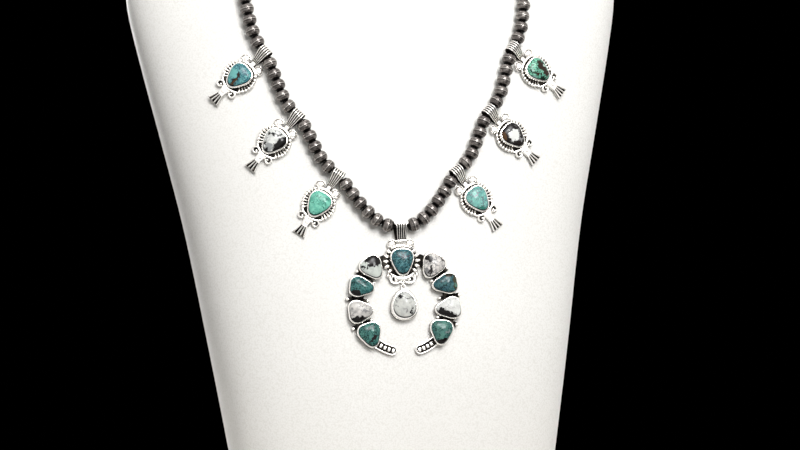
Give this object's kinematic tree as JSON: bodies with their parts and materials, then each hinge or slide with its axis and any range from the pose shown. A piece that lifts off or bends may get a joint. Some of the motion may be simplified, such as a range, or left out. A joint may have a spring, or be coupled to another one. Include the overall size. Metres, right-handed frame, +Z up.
{
  "type": "squash blossom necklace on a neck bust",
  "caption": "Necklace of round oxidised silver beads with fluted blossom pendants and a stone-set crescent naja, worn by a plain white neck bust.",
  "frame": {"origin": "middle of the bust's flat base, on the surface that it stands on", "axes": "+Z up; the bust's front faces -Y; +X to the right of a viewer in front"},
  "size_m": [0.303, 0.1358, 0.42],
  "materials": {
    "bust_cover": "smooth white leatherette, soft sheen",
    "bead_silver": "dark oxidised silver, satin polish",
    "silver": "polished silver, black in the hollows",
    "thread": "waxed black thread",
    "turquoise": "polished blue-green stone with dark matrix",
    "pale_turquoise": "polished pale sea-green stone",
    "white_stone": "polished white stone with black bands"
  },
  "bodies": {
    "bust": {"bust": "bust_cover", "thread": "thread", "clasp": "silver", "beads_left": "bead_silver", "beads_right": "bead_silver", "blossom_left_1": "silver", "blossom_left_2": "silver", "blossom_left_3": "silver", "blossom_right_1": "silver", "blossom_right_2": "silver", "blossom_right_3": "silver", "blossom_stone_left_1": "turquoise", "blossom_stone_left_2": "white_stone", "blossom_stone_left_3": "pale_turquoise", "blossom_stone_right_1": "turquoise", "blossom_stone_right_2": "white_stone", "blossom_stone_right_3": "pale_turquoise"},
    "naja": {"naja": "silver", "naja_stone_centre": "turquoise", "drop_ring": "silver", "drop_setting": "silver", "drop_stone": "white_stone", "naja_stone_left_1": "white_stone", "naja_stone_left_2": "turquoise", "naja_stone_left_3": "white_stone", "naja_stone_left_4": "turquoise", "naja_stone_right_1": "white_stone", "naja_stone_right_2": "turquoise", "naja_stone_right_3": "white_stone", "naja_stone_right_4": "turquoise"}
  },
  "joints": [
    {"name": "naja_swing", "type": "hinge", "parent": "bust", "child": "naja", "pos_m": [0, -0.054, 0.17764], "axis": [-1, 0, 0], "range_deg": [0, 75]}
  ]
}
